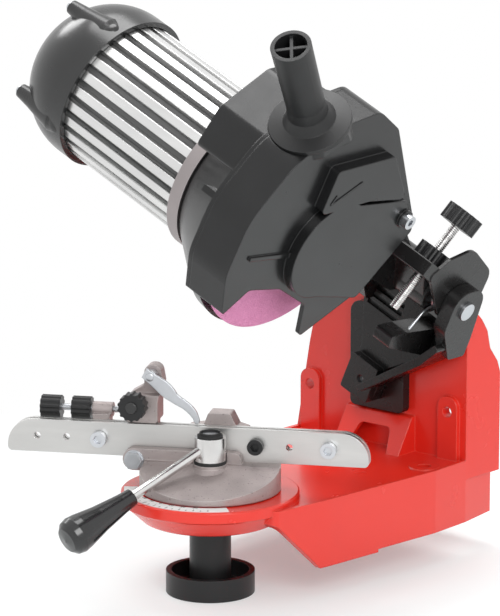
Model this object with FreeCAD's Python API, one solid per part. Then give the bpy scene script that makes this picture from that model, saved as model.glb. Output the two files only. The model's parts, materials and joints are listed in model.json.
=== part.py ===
import FreeCAD, Part
import math
import os

os.makedirs("parts", exist_ok=True)
V = FreeCAD.Vector

# driving dimensions, millimetres; origin midway between the two bench bolts, on the bench
BENCH_BOLT_HALF = 57.7
BENCH_HOLE = 8.5
FLOOR_TOP = 43.0
PLATE = 4.0
LIP = 1.2
VISE_Y = -141.0
NOSE_R = 55.6
NOSE_STEP = 3.4
WALL_Y = 26.0
WALL_TOP = 145.0
WALL_BACK = 61.0
WALL_BOLT_HALF = 57.5
WALL_HOLE = 7.0
WALL_HOLE_Z = 73.5
TILT_Z = 89.5
TILT_DEG = 24.0
SWIVEL_DEG = 30.0
BOLT_D = 10.0
WHEEL_D = 145.0
WHEEL_T = 4.8
WHEEL_BORE = 22.2
WHEEL_Y = -128.3
WHEEL_UP = 143.0
HINGE_Y = 1.0
HINGE_UP = 90.0
PIN_D = 12.0
SPRING_WIRE_D = 1.8
SPRING_PITCH = 2.4
SPRING_TURNS = 3.5
GUARD_NEAR = 24.0
GUARD_FAR = -4.5
GUARD_T = 3.0
MOTOR_R = 48.0
MOTOR_LEN = 101.0
RIBS = 28
SHAFT_D = 15.0
ARBOR_D = 12.0
BEARING_D = 35.0
RAIL_LEFT = 132.0
RAIL_RIGHT = 98.0
RAIL_H = 21.0
RAIL_T = 3.0
CHAIN_GAP = 2.0
LEVER_D = 6.0
LEVER_OVER_NOSE = 6.1
STOP_SCREW_D = 4.0
FIT = 0.05
RUN = 0.3

NOSE_TOP = FLOOR_TOP + NOSE_STEP
WHEEL_R = WHEEL_D / 2
WHEEL_Z = TILT_Z + WHEEL_UP
HINGE_Z = TILT_Z + HINGE_UP
BOLT_R = BOLT_D / 2
PIN_R = PIN_D / 2
nodes = {}


def fuse(first, *others):
    shape = first
    for other in others:
        shape = shape.fuse(other)
    return shape.removeSplitter()


def box(x0, x1, y0, y1, z0, z1):
    return Part.makeBox(x1 - x0, y1 - y0, z1 - z0, V(x0, y0, z0))


def rod(radius, start, end):
    run = V(*end) - V(*start)
    return Part.makeCylinder(radius, run.Length, V(*start), run)


def cone(r0, r1, start, end):
    run = V(*end) - V(*start)
    return Part.makeCone(r0, r1, run.Length, V(*start), run)


def tube(outer, inner, start, end):
    return rod(outer, start, end).cut(rod(inner, start, end))


def placed(shape, at, axis):
    shape.Placement = FreeCAD.Placement(V(*at), FreeCAD.Rotation(V(0, 0, 1), V(*axis)))
    return shape


def outline(corners, place):
    # closed wire through corners (a, b, radius), each corner rounded by its radius
    count = len(corners)
    legs = []
    for i in range(count):
        q = V(corners[i][0], corners[i][1], 0)
        before = V(corners[i - 1][0], corners[i - 1][1], 0) - q
        after = V(corners[(i + 1) % count][0], corners[(i + 1) % count][1], 0) - q
        radius = corners[i][2]
        if radius == 0:
            legs.append((q, None, q))
            continue
        before.normalize()
        after.normalize()
        half = before.getAngle(after) / 2
        back = radius / math.tan(half)
        middle = before + after
        middle.normalize()
        crown = q + middle * (radius / math.sin(half) - radius)
        legs.append((q + before * back, crown, q + after * back))
    edges = []
    for i in range(count):
        enter, crown, leave = legs[i]
        if crown is not None:
            edges.append(Part.Arc(place(enter), place(crown), place(leave)).toShape())
        target = legs[(i + 1) % count][0]
        if (target - leave).Length > 1e-6:
            edges.append(Part.makeLine(place(leave), place(target)))
    return Part.Wire(edges)


def slab_x(corners, x0, x1):
    return Part.Face(outline(corners, lambda p: V(x0, p.x, p.y))).extrude(V(x1 - x0, 0, 0))


def slab_y(corners, y0, y1):
    return Part.Face(outline(corners, lambda p: V(p.x, y0, p.y))).extrude(V(0, y1 - y0, 0))


def slab_z(corners, z0, z1):
    return Part.Face(outline(corners, lambda p: V(p.x, p.y, z0))).extrude(V(0, 0, z1 - z0))


def lathe(profile, at, axis):
    # revolve (radius, along) pairs about the axis through a point
    wire = Part.makePolygon([V(r, 0, a) for r, a in profile + profile[:1]])
    return placed(Part.Face(wire).revolve(V(0, 0, 0), V(0, 0, 1), 360), at, axis)


def knob(radius, length, at, axis, lobes, bore):
    # grip with scalloped edge
    body = Part.makeCylinder(radius, length)
    for i in range(lobes):
        angle = 2 * math.pi * i / lobes
        spot = V(math.cos(angle), math.sin(angle), 0) * (radius * 1.1)
        body = body.cut(Part.makeCylinder(radius * 0.2, length, spot))
    if bore:
        body = body.cut(Part.makeCylinder(bore, length))
    return placed(body, at, axis)


def hexagon(across, height, at, axis):
    points = []
    for i in range(6):
        angle = math.pi * i / 3
        points.append(V(math.cos(angle), math.sin(angle), 0) * (across / math.sqrt(3)))
    return placed(Part.Face(Part.makePolygon(points + points[:1])).extrude(V(0, 0, height)), at, axis)


def tilted(shape):
    # the head is drawn upright, then leans about the tilt bolt
    turned = shape.copy()
    turned.rotate(V(0, 0, TILT_Z), V(0, 1, 0), TILT_DEG)
    return turned


def swivelled(shape):
    # the vise is drawn square, with its axis on Z and the nose top at zero
    turned = shape.copy()
    turned.translate(V(0, VISE_Y, NOSE_TOP))
    turned.rotate(V(0, VISE_Y, 0), V(0, 0, 1), SWIVEL_DEG)
    return turned


# base casting: floor on skirts, round nose, hollow rear wall
NOSE_LOW = FLOOR_TOP - 15.5
FLOOR = FLOOR_TOP - LIP


def plan(inset):
    front = VISE_Y - 5 + inset
    back = WALL_BACK - inset
    halves = [(58, front, 4), (64, -101, 0), (72, -6, 0), (71, WALL_Y, 0), (66, back, 5)]
    right = [(x - inset, y, r) for x, y, r in halves]
    return right + [(-x, y, r) for x, y, r in reversed(right)]


wall_face = [(-73, 30, 0), (-60, 102, 30), (-50, WALL_TOP, 6), (62, WALL_TOP, 6), (71, WALL_TOP - 10, 8),
             (71, 30, 0)]
wall_hollow = [(-69, 30, 0), (-56, 102, 26), (-47, WALL_TOP - PLATE, 3), (60, WALL_TOP - PLATE, 3),
               (67, WALL_TOP - 12, 5), (67, 30, 0)]
wall_side = [(WALL_Y, 30, 0), (WALL_Y, WALL_TOP, 0), (33, WALL_TOP, 3), (47, WALL_TOP - 20, 8),
             (50, WALL_TOP - 32, 6), (58, WALL_TOP - 42, 8), (WALL_BACK, WALL_TOP - 50, 4),
             (WALL_BACK, 30, 0)]
base = slab_z(plan(0), 0, FLOOR_TOP).cut(slab_z(plan(PLATE), -1, FLOOR_TOP - PLATE - LIP))
under_nose = [(-170, -5, 0), (-105, -5, 0), (-109, 0, 0), (-145, NOSE_LOW + 6.5, 6),
              (-170, NOSE_LOW + 8.5, 0)]
base = base.cut(slab_x(under_nose, -90, 90))
base = base.cut(box(-90, 90, -58, 70, -1, 2))
wall = slab_y(wall_face, WALL_Y, WALL_BACK + 1).common(slab_x(wall_side, -90, 90))
base = base.cut(slab_z(plan(LIP + 2), FLOOR, FLOOR_TOP + 1)).cut(slab_y(wall_hollow, WALL_Y + PLATE,
                                                                        WALL_BACK - PLATE))
base = fuse(base, wall.cut(slab_y(wall_hollow, WALL_Y + PLATE, WALL_BACK + 2)))
nose = lathe([(0, NOSE_LOW), (NOSE_R - 14.6, NOSE_LOW), (NOSE_R - 12.6, NOSE_LOW + 1),
              (NOSE_R - 2, FLOOR_TOP - 4.6), (NOSE_R, FLOOR_TOP - 3.4), (NOSE_R, NOSE_TOP - 0.8),
              (NOSE_R - 0.8, NOSE_TOP), (0, NOSE_TOP)], (0, VISE_Y, 0), (0, 0, 1))
base = fuse(base, nose)
for side in (-1, 1):
    bench_x = side * BENCH_BOLT_HALF
    wall_x = side * WALL_BOLT_HALF
    foot = rod(10, (bench_x, 0, 0), (bench_x, 0, FLOOR + 0.8))
    pad = slab_y([(wall_x - 8, FLOOR - 1, 0), (wall_x + 8, FLOOR - 1, 0), (wall_x + 8, WALL_HOLE_Z + 10, 7),
                  (wall_x - 8, WALL_HOLE_Z + 10, 7)], WALL_Y - 3, WALL_Y + 1)
    base = fuse(base, foot, pad)
    base = base.cut(rod(BENCH_HOLE / 2, (bench_x, 0, -1), (bench_x, 0, FLOOR_TOP + 9)))
    base = base.cut(rod(WALL_HOLE / 2, (wall_x, WALL_Y - 9, WALL_HOLE_Z),
                        (wall_x, WALL_Y + 9, WALL_HOLE_Z)))
TENT_TOP = TILT_Z - 23.5
tent = slab_x([(WALL_Y + 1, FLOOR - 1, 0), (WALL_Y + 1, TENT_TOP, 0), (WALL_Y - 3, TENT_TOP - 1, 2),
               (8, FLOOR - 1, 0)], -25.6, 29)
tent = tent.cut(slab_x([(WALL_Y, FLOOR, 0), (WALL_Y, TENT_TOP - PLATE, 0), (12, FLOOR, 0)], -22.6, 26))
arch = slab_y([(-15, FLOOR, 0), (19, FLOOR, 0), (15, TENT_TOP - 9, 4), (-10, TENT_TOP - 9, 4)], 0, WALL_Y)
base = fuse(base, tent.cut(arch), rod(16, (0, WALL_Y + 2, TILT_Z), (0, WALL_Y + 12, TILT_Z)))
base = base.cut(rod(BOLT_R + FIT, (0, 0, TILT_Z), (0, WALL_BACK, TILT_Z)))
base = base.cut(rod(BOLT_R + FIT, (0, VISE_Y, 0), (0, VISE_Y, NOSE_TOP + 9)))
nodes["base_casting"] = base

# angle strip on the nose, in front of the vise
strip = tube(NOSE_R - 2, NOSE_R - 10.4, (0, VISE_Y, NOSE_TOP), (0, VISE_Y, NOSE_TOP + 0.4))
sector = [(0, VISE_Y + 1, 0), (-80, VISE_Y - 59, 0), (0, VISE_Y - 90, 0), (80, VISE_Y - 59, 0)]
nodes["swivel_scale"] = strip.common(slab_z(sector, NOSE_TOP - 1, NOSE_TOP + 1))

# pad on the wall, tilting bracket, its bolt and the hinge pin
PAD_T = 6.5
BRACKET_BACK = WALL_Y - PAD_T - RUN
pivot_pad = slab_y([(-20, TILT_Z - 22.5, 4), (24, TILT_Z - 22.5, 4), (24, TILT_Z + 47.5, 8),
                    (-20, TILT_Z + 47.5, 8)], WALL_Y - PAD_T, WALL_Y)
nodes["pivot_pad"] = pivot_pad.cut(rod(BOLT_R + FIT, (0, 0, TILT_Z), (0, WALL_Y, TILT_Z)))

BLOCK_FRONT = 5.0
back_plate = slab_y([(-12.5, TILT_Z - 12, 3), (10.5, TILT_Z - 12, 3), (12, TILT_Z + 14, 4),
                     (46, TILT_Z + 50, 3), (57, TILT_Z + 67, 2), (-26, TILT_Z + 67, 2),
                     (-26, TILT_Z + 54, 3), (-12.5, TILT_Z + 18, 6)], BRACKET_BACK - 8, BRACKET_BACK)
block = slab_y([(-12.5, TILT_Z - 13, 1.5), (10.5, TILT_Z - 13, 1.5), (10.5, TILT_Z + 13, 1.5),
                (-12.5, TILT_Z + 13, 1.5)], BLOCK_FRONT, BRACKET_BACK)
cheek = [(HINGE_Y - 14, HINGE_Z + 14, 12), (HINGE_Y + 14, HINGE_Z + 14, 12), (BRACKET_BACK, TILT_Z + 66, 2),
         (BRACKET_BACK, TILT_Z + 52, 2), (3, TILT_Z + 52, 4), (HINGE_Y - 14, HINGE_Z - 14, 8)]
CHEEK_LEFT = -26.0
CHEEK_RIGHT = 47.5
CHEEK_T = 9.5
trough = slab_y([(9, TILT_Z + 4, 1), (13, TILT_Z + 2, 1), (48, TILT_Z + 45, 2), (57, TILT_Z + 62, 2),
                 (53, TILT_Z + 64, 1), (44, TILT_Z + 49, 1)], -12, BRACKET_BACK - 4)
stop_arm = slab_x([(12, TILT_Z + 40, 0), (12, TILT_Z + 62, 2), (-22, TILT_Z + 65.2, 2),
                   (-37, TILT_Z + 65.2, 2), (-37, TILT_Z + 57, 3)], 23, 37)
bracket = fuse(back_plate, block, slab_x(cheek, CHEEK_LEFT, CHEEK_LEFT + CHEEK_T),
               slab_x(cheek, CHEEK_RIGHT, CHEEK_RIGHT + CHEEK_T), trough, stop_arm)
for level in range(3):
    groove_z = TILT_Z + 46 + 6 * level
    bracket = bracket.cut(box(-20, 8, BRACKET_BACK - 9, BRACKET_BACK - 6, groove_z, groove_z + 3.6))
bracket = bracket.cut(rod(BOLT_R + FIT, (0, BLOCK_FRONT + 3, TILT_Z), (0, WALL_Y, TILT_Z)))
bracket = bracket.cut(rod(BOLT_R / 2, (0, 0, TILT_Z), (0, WALL_Y, TILT_Z)))
bracket = bracket.cut(rod(PIN_R + FIT, (-40, HINGE_Y, HINGE_Z), (70, HINGE_Y, HINGE_Z)))
nodes["tilt_bracket"] = tilted(bracket)
nodes["tilt_bolt"] = tilted(rod(BOLT_R, (0, BLOCK_FRONT + 3, TILT_Z), (0, WALL_Y + 32, TILT_Z)))
nodes["tilt_lock_knob"] = knob(18, 14, (0, WALL_Y + 12.2, TILT_Z), (0, 1, 0), 7, BOLT_R + FIT)
nodes["hinge_pin"] = tilted(rod(PIN_R, (CHEEK_LEFT - 2, HINGE_Y, HINGE_Z),
                                (CHEEK_RIGHT + 11.5, HINGE_Y, HINGE_Z)))

# return spring wound round the pin, beside the arm hub: one tube on a chain of arcs
SPRING_R = PIN_R + 3.6
SPRING_X = 35.3
SPRING_TOE = V(SPRING_X, HINGE_Y - 20, HINGE_Z - 23.7)


def arc_from(start, way, end):
    reach = end - start
    side = reach - way * reach.dot(way)
    if side.Length < 1e-6:
        return Part.makeLine(start, end)
    centre = start + side * (reach.dot(reach) / (2 * side.dot(reach)))
    middle = (start - centre) + (end - centre)
    middle.normalize()
    return Part.Arc(start, centre + middle * (start - centre).Length, end).toShape()


def biarc(start, way, end, end_way):
    reach = end - start
    lean = reach.dot(way + end_way)
    spread = 2 * (1 - way.dot(end_way))
    d = (-lean + math.sqrt(lean * lean + spread * reach.dot(reach))) / spread
    joint = (start + end + (way - end_way) * d) * 0.5
    return [arc_from(start, way, joint), arc_from(end, end_way * -1, joint)]


def coil_point(turn):
    angle = 2 * math.pi * turn
    x = SPRING_X + SPRING_PITCH * turn
    return V(x, HINGE_Y + SPRING_R * math.sin(angle), HINGE_Z - SPRING_R * math.cos(angle))


def coil_way(turn):
    angle = 2 * math.pi * turn
    way = V(SPRING_PITCH / (2 * math.pi), SPRING_R * math.cos(angle), SPRING_R * math.sin(angle))
    way.normalize()
    return way


lead_in = coil_point(0) - coil_way(0) * 3
toe_way = V(0, 0.62, 0.785)
toe_way.normalize()
edges = biarc(SPRING_TOE, toe_way, lead_in, coil_way(0)) + [Part.makeLine(lead_in, coil_point(0))]
for i in range(int(2 * SPRING_TURNS)):
    edges += biarc(coil_point(i / 2), coil_way(i / 2), coil_point((i + 1) / 2), coil_way((i + 1) / 2))
tail = coil_point(SPRING_TURNS)
edges.append(Part.makeLine(tail, tail + coil_way(SPRING_TURNS) * 7))
spine = Part.Wire(Part.__sortEdges__(edges))
ring = Part.Wire(Part.makeCircle(SPRING_WIRE_D / 2, SPRING_TOE, toe_way))
nodes["return_spring"] = tilted(spine.makePipeShell([ring], True, False))
samples = [coil_point(i / 48) for i in range(int(48 * SPRING_TURNS) + 1)]
least = min((p - q).Length for i, p in enumerate(samples) for q in samples[i + 24:])
print("spring least gap to itself", round(least - SPRING_WIRE_D, 2))


# guard outlines are set from the wheel's rim: (degrees about the axle, distance beyond the rim, rounding)
def on_axle(x):
    return (x, WHEEL_Y, WHEEL_Z)


def rim(degree, beyond):
    angle = math.radians(degree)
    radius = WHEEL_R + beyond
    return (WHEEL_Y + radius * math.cos(angle), WHEEL_Z + radius * math.sin(angle))


def rim_slab(corners, x0, x1):
    return slab_x([rim(degree, beyond) + (rounding,) for degree, beyond, rounding in corners], x0, x1)


crest = [(184, 13.7, 30), (159, 15.5, 40), (131, 15.4, 40), (104, 18.2, 30), (85, 20.8, 14),
         (67, 11.3, 12), (1, 13.5, 6)]
crest_inside = [(degree, beyond - GUARD_T - 0.6, rounding - GUARD_T) for degree, beyond, rounding in crest]
near_edge = [(317, -3.9, 5), (278, -2.8, 3), (275, -28.3, 3), (223, -34.3, 18), (200, -10.8, 6),
             (205, 11.6, 2)]
far_edge = [(319, -3.7, 5), (286, -35.1, 20), (200, -10.8, 6), (205, 11.6, 2)]
FACE = GUARD_NEAR - GUARD_T
PLATEAU = GUARD_NEAR + 7
SCREW_AT = rim(11, -8.4)
HANDLE_LEAN = math.radians(35)
HANDLE_DIR = V(-0.08, -math.sin(HANDLE_LEAN), math.cos(HANDLE_LEAN))
HANDLE_DIR.normalize()
HANDLE_AT = V(7, *rim(112, 15))
HANDLE_LEN = 68.0
HANDLE_STUD_R = 5.0
FLANGE_R = 25.0


def on_handle(s):
    return tuple(HANDLE_AT + HANDLE_DIR * s)


# wheel guard: deep shell with raised motor-side boss, arrow panel and handle saddle
inside = rim_slab(crest_inside + [(309, 4.3, 0), (215, 15.6, 0)], GUARD_FAR - 1, FACE)
swept = rod(WHEEL_R + 4, on_axle(GUARD_FAR - 1), on_axle(FACE))
envelope = rim_slab(crest + near_edge, GUARD_FAR - GUARD_T, GUARD_NEAR + 0.01)
guard = rim_slab(crest + near_edge, GUARD_FAR, GUARD_NEAR).cut(inside).cut(swept)
plateau = fuse(rod(33, on_axle(FACE), on_axle(PLATEAU)),
               rim_slab([(97, -40.3, 3), (23, -7.5, 4), (1, 4.5, 4), (316, -11.7, 4), (263, -40.3, 3)],
                        FACE, PLATEAU))
plateau = plateau.common(rim_slab(crest + near_edge, 0, PLATEAU + 9))
dish = fuse(rod(30, on_axle(FACE - 1), on_axle(PLATEAU - 3)),
            rim_slab([(98, -44.2, 3), (21, -11.4, 3), (2, -1.5, 3), (319, -17.2, 3), (262, -44.2, 3)],
                     FACE - 1, PLATEAU - 3))
panel = rim_slab([(110, -8.6, 3), (64, -3.6, 3), (25, -8.5, 3), (58, -34.8, 6), (129, -34.1, 4)],
                 GUARD_NEAR - 1, PLATEAU)
screw_boss = rod(6, (FACE,) + SCREW_AT, (PLATEAU + 2,) + SCREW_AT)
rib = rim_slab([(178, -2.5, 0), (184, -42.4, 0), (178, -42.5, 0), (176, -2.3, 0)], GUARD_NEAR - 1,
               GUARD_NEAR + 1.5)
seat = rod(FLANGE_R + RUN, on_handle(0), on_handle(40))
saddle = rod(FLANGE_R - 2, on_handle(-22), on_handle(0)).cut(rod(WHEEL_R + 8, on_axle(-40), on_axle(60)))
saddle = saddle.common(box(GUARD_FAR, GUARD_NEAR + 4, -300, 0, 0, 500))
guard = fuse(guard, plateau, panel, screw_boss, rib, saddle).cut(dish).cut(seat)
guard = guard.cut(rod(2.6, (0,) + SCREW_AT, (60,) + SCREW_AT))
guard = guard.cut(rod(HANDLE_STUD_R + FIT, on_handle(-30), on_handle(5)))
nodes["wheel_guard"] = tilted(guard)

guard_screw = fuse(rod(2.5, (FACE - 5,) + SCREW_AT, (PLATEAU + 2,) + SCREW_AT),
                   rod(4.5, (PLATEAU + 2,) + SCREW_AT, (PLATEAU + 6,) + SCREW_AT))
nodes["guard_screw"] = tilted(guard_screw.cut(hexagon(4, 3, (PLATEAU + 3.5,) + SCREW_AT, (1, 0, 0))))

# rear guard: plate, tapering neck that carries the front bearing, hollow crown, ribs
PLATE_BACK = GUARD_FAR - GUARD_T
NECK_LEN = 42.5
NECK_R = MOTOR_R + 2
BEARING_R = BEARING_D / 2
SEAT_END = 13.5 - NECK_LEN
neck_out = [(WHEEL_R + 1.5, 0), (WHEEL_R + 0.5, -8), (NECK_R, -NECK_LEN)]
neck_in = [(BEARING_R + FIT, -NECK_LEN), (BEARING_R + FIT, SEAT_END), (23, SEAT_END), (23, 5 - NECK_LEN),
           (NECK_R - 4, 5 - NECK_LEN), (WHEEL_R - 5.5, -6), (WHEEL_R - 5.5, -GUARD_T), (30, -GUARD_T),
           (30, 0)]
neck = lathe(neck_out + neck_in, on_axle(PLATE_BACK), (1, 0, 0))
neck_solid = lathe(neck_out + [(0, -NECK_LEN), (0, 0)], on_axle(PLATE_BACK), (1, 0, 0))
crown = rim_slab([(148, 3, 4), (129, 12.8, 8), (103, 16.8, 8), (87, 15.6, 6), (86, -12.4, 2),
                  (138, -18.7, 2)], -44, PLATE_BACK)
crown = crown.cut(rim_slab([(142, -1.5, 2), (128, 6.5, 4), (104, 10, 4), (92, 9.5, 3), (92, -8.5, 2),
                            (131, -17, 2)], -41, PLATE_BACK - GUARD_T))
rear = fuse(rim_slab(crest + far_edge, PLATE_BACK, GUARD_FAR), crown.cut(neck_solid))
rear = rear.cut(rod(WHEEL_R - 12.5, on_axle(PLATE_BACK - 8), on_axle(PLATE_BACK + 0.1)))
for degree in (160, 345, 20, 55):
    spread = 1.6
    fin = rim_slab([(degree - spread, -20, 0), (degree + spread, -20, 0), (degree + spread, 6.5, 0),
                    (degree - spread, 6.5, 0)], PLATE_BACK - 14, PLATE_BACK)
    rear = fuse(rear, fin.cut(neck_solid))
skirt_cut = rim_slab([(204, 26, 0), (207, -7.2, 0), (282, -25.4, 0), (320, 5.6, 0), (301, 44.1, 0),
                      (228, 62, 0)], -18, GUARD_FAR + 1)
rear = fuse(rear, neck).cut(skirt_cut.cut(neck_solid))
rear = rear.cut(rod(30, on_axle(PLATE_BACK - GUARD_T), on_axle(GUARD_FAR + 1))).cut(seat)
nodes["rear_guard"] = tilted(rear)

# arm from the guards to the hinge, with the lug that carries the depth screw
DEPTH_LEAN = math.radians(32)
DEPTH_DIR = V(0, math.sin(DEPTH_LEAN), math.cos(DEPTH_LEAN))
DEPTH_FOOT = V(30, HINGE_Y - 37.8, HINGE_Z - 7)
DEPTH_SCREW_R = 3.0
LUG_LOW = 26.0
LUG_TOP = 36.0
LUG_RIGHT = 46.5
ARM_LEFT = CHEEK_LEFT + CHEEK_T + 1.3
HUB_RIGHT = 34.0


def on_depth(s, q=0.0):
    along = DEPTH_FOOT + DEPTH_DIR * s
    return (along.x, along.y + DEPTH_DIR.z * q, along.z - DEPTH_DIR.y * q)


def hinge_slab(corners, x0, x1):
    return slab_x([(HINGE_Y + a, HINGE_Z + b, rounding) for a, b, rounding in corners], x0, x1)


front = [rim(326, -0.4) + (0,), rim(8, 0.2) + (0,), rim(359, 19.5) + (4,)]
back_corners = [(-7.3, 17.5, 4), (13.7, 9, 8), (11.7, -12, 8), (-13.3, -13, 6), (-31.3, -3, 4)]
hind = [(HINGE_Y + a, HINGE_Z + b, rounding) for a, b, rounding in back_corners]
lug = slab_x([on_depth(LUG_LOW, -26)[1:] + (1,), on_depth(LUG_TOP, -26)[1:] + (1,),
              on_depth(LUG_TOP, 18)[1:] + (2,), on_depth(LUG_LOW, 18)[1:] + (2,)], 7, LUG_RIGHT)
lobe = hinge_slab([(-38, 26, 4), (-23, 36, 5), (-1, 40, 14), (28, 18, 12), (26, -5, 7), (8, -12, 6),
                   (-13, -8, 8)], LUG_RIGHT - 1.5, CHEEK_RIGHT - RUN)
web = hinge_slab([(-29.3, 31, 2), (-7.3, 18, 4), (10.7, 9, 8), (10.7, -9, 8), (-11.3, -9, 6)], 7, 33)
hub = rod(PIN_R + 9, (ARM_LEFT, HINGE_Y, HINGE_Z), (HUB_RIGHT, HINGE_Y, HINGE_Z))
arm = fuse(slab_x(front + hind, ARM_LEFT, 8), lug, lobe, web, hub)
arm = arm.cut(rod(SPRING_R + 3.8, (HUB_RIGHT, HINGE_Y, HINGE_Z), (LUG_RIGHT - 1.5, HINGE_Y, HINGE_Z)))
arm = arm.cut(envelope).cut(rear).cut(rod(WHEEL_R + 4, on_axle(GUARD_FAR + 0.5), on_axle(GUARD_NEAR)))
arm = arm.cut(rod(12.6, on_depth(LUG_TOP), on_depth(70)))
arm = arm.cut(rod(PIN_R + FIT, (-40, HINGE_Y, HINGE_Z), (70, HINGE_Y, HINGE_Z)))
arm = arm.cut(rod(DEPTH_SCREW_R + FIT, on_depth(0), on_depth(60)))
nodes["head_arm"] = tilted(arm)

nodes["depth_screw"] = tilted(rod(DEPTH_SCREW_R, on_depth(0), on_depth(72)))
nodes["depth_knob"] = tilted(knob(12.5, 11, on_depth(64), tuple(DEPTH_DIR), 14, DEPTH_SCREW_R + FIT))
lock_at = on_depth(LUG_TOP + RUN)
nodes["depth_lock_knob"] = tilted(knob(12, 9, lock_at, tuple(DEPTH_DIR), 14, DEPTH_SCREW_R + FIT))

# hollow handle with a cross web, on a stud
STUD_TOP = HANDLE_LEN - 32
grip = lathe([(HANDLE_STUD_R + FIT, 0), (FLANGE_R, 0), (FLANGE_R, 3), (16, 5), (12.4, 11), (11.6, 18),
              (12.2, HANDLE_LEN), (9.6, HANDLE_LEN), (9.2, STUD_TOP), (HANDLE_STUD_R + FIT, STUD_TOP)],
             tuple(HANDLE_AT), tuple(HANDLE_DIR))
for turn in (45, 135):
    web_plate = Part.makeBox(20, 2, 28, V(-10, -1, STUD_TOP + 2))
    web_plate.rotate(V(0, 0, 0), V(0, 0, 1), turn)
    stand = FreeCAD.Placement(HANDLE_AT, FreeCAD.Rotation(V(0, 0, 1), HANDLE_DIR))
    web_plate.Placement = stand * web_plate.Placement
    grip = fuse(grip, web_plate)
nodes["handle"] = tilted(grip)
nodes["handle_stud"] = tilted(rod(HANDLE_STUD_R, on_handle(-4.5), on_handle(STUD_TOP - 2)))

# motor along the axle behind the neck: end ring, ribbed body, rear plate, cap with screw towers
BELL = PLATE_BACK - NECK_LEN
BODY = BELL - 9
BODY_END = BODY - MOTOR_LEN
BORE = MOTOR_R - 9
CAP_LEN = 53.0
CAP_T = 3.0
TOWER_END = BODY_END - 41
TOWER_OUT = MOTOR_R - 4.5
nodes["motor_end_bell"] = tilted(tube(MOTOR_R + 3.5, BORE - 3, on_axle(BODY), on_axle(BELL)))
tips = []
for i in range(RIBS):
    for part, radius in ((-0.27, MOTOR_R), (0.27, MOTOR_R), (0.33, MOTOR_R - 4.5), (0.67, MOTOR_R - 4.5)):
        angle = 2 * math.pi * (i + part) / RIBS
        tips.append(V(BODY_END, WHEEL_Y + radius * math.cos(angle), WHEEL_Z + radius * math.sin(angle)))
body = Part.Face(Part.makePolygon(tips + tips[:1])).extrude(V(MOTOR_LEN, 0, 0))
nodes["motor_body"] = tilted(body.cut(rod(BORE, on_axle(BODY_END), on_axle(BODY))))
PLATE_R = MOTOR_R - 4
nodes["motor_rear_plate"] = tilted(lathe([(BEARING_R + FIT, 0), (BEARING_R + FIT, 12), (23, 12), (23, 5),
                                          (PLATE_R, 5), (PLATE_R, 0)], on_axle(BODY_END - 5), (1, 0, 0)))
cap_out = [(MOTOR_R + 3, 4), (MOTOR_R + 3, -14), (MOTOR_R - 1, -27), (MOTOR_R - 12, -40),
           (MOTOR_R - 25, -48), (15, -CAP_LEN), (0, -CAP_LEN)]
cap_in = [(0, CAP_T - CAP_LEN), (14, CAP_T - CAP_LEN), (MOTOR_R - 26.5, -45), (MOTOR_R - 14, -37.5),
          (MOTOR_R - 4, -25.5), (MOTOR_R - 1, -13), (MOTOR_R - 1, -5), (PLATE_R + 0.1, -5),
          (PLATE_R + 0.1, 0), (MOTOR_R + RUN, 0), (MOTOR_R + RUN, 4)]
cap = lathe(cap_out + cap_in, on_axle(BODY_END), (1, 0, 0))
hollow = lathe(cap_in + [(0, 4)], on_axle(BODY_END), (1, 0, 0))
cap_screws = []
for i in range(4):
    angle = math.radians(114 + 90 * i)
    spot = (WHEEL_Y + TOWER_OUT * math.cos(angle), WHEEL_Z + TOWER_OUT * math.sin(angle))
    tower = fuse(cone(10, 6, (BODY_END - 8,) + spot, (BODY_END - 30,) + spot),
                 cone(6, 4.6, (BODY_END - 30,) + spot, (TOWER_END,) + spot))
    cap = fuse(cap, tower.cut(hollow))
    cap_screws.append(rod(3, (TOWER_END,) + spot, (TOWER_END - 2,) + spot))
SWITCH_Y = 10.0
SWITCH_Z = 7.0
cap = cap.cut(box(BODY_END - 60, BODY_END - 45, WHEEL_Y - SWITCH_Y - FIT, WHEEL_Y + SWITCH_Y + FIT,
                  WHEEL_Z - SWITCH_Z - FIT, WHEEL_Z + SWITCH_Z + FIT))
GLAND_R = 5.5
GLAND_OUT = V(0, math.sqrt(0.5), -math.sqrt(0.5))


def on_gland(s):
    return tuple(V(*on_axle(BODY_END - 9)) + GLAND_OUT * (MOTOR_R + s))


nodes["motor_cap"] = tilted(cap.cut(rod(GLAND_R, on_gland(-20), on_gland(12))))
gland = fuse(rod(GLAND_R - FIT / 2, on_gland(-3.2), on_gland(4)),
             hexagon(15, 5, on_gland(4), tuple(GLAND_OUT)), cone(6.5, 4.6, on_gland(9), on_gland(18)))
nodes["cable_gland"] = tilted(gland.cut(rod(3.2, on_gland(-5), on_gland(20))))
nodes["cap_screws"] = tilted(Part.makeCompound(cap_screws))

# switch in the cap, run capacitor on its clip
flange = box(BODY_END - CAP_LEN - 2, BODY_END - CAP_LEN, WHEEL_Y - SWITCH_Y - 3, WHEEL_Y + SWITCH_Y + 3,
             WHEEL_Z - SWITCH_Z - 2, WHEEL_Z + SWITCH_Z + 2)
case = fuse(flange, box(BODY_END - CAP_LEN, BODY_END - 32, WHEEL_Y - SWITCH_Y, WHEEL_Y + SWITCH_Y,
                        WHEEL_Z - SWITCH_Z, WHEEL_Z + SWITCH_Z))
case = case.cut(box(BODY_END - CAP_LEN - 3, BODY_END - 34, WHEEL_Y - SWITCH_Y + 1.5,
                    WHEEL_Y + SWITCH_Y - 1.5, WHEEL_Z - SWITCH_Z + 1.5, WHEEL_Z + SWITCH_Z - 1.5))
nodes["switch_case"] = tilted(case)
rocker = slab_z([(BODY_END - 45, WHEEL_Y - 7.4, 1), (BODY_END - 53.5, WHEEL_Y - 6.8, 1),
                 (BODY_END - 53, WHEEL_Y, 3), (BODY_END - 57.2, WHEEL_Y + 7.4, 1),
                 (BODY_END - 45, WHEEL_Y + 7.4, 1)], WHEEL_Z - 5, WHEEL_Z + 5)
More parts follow.
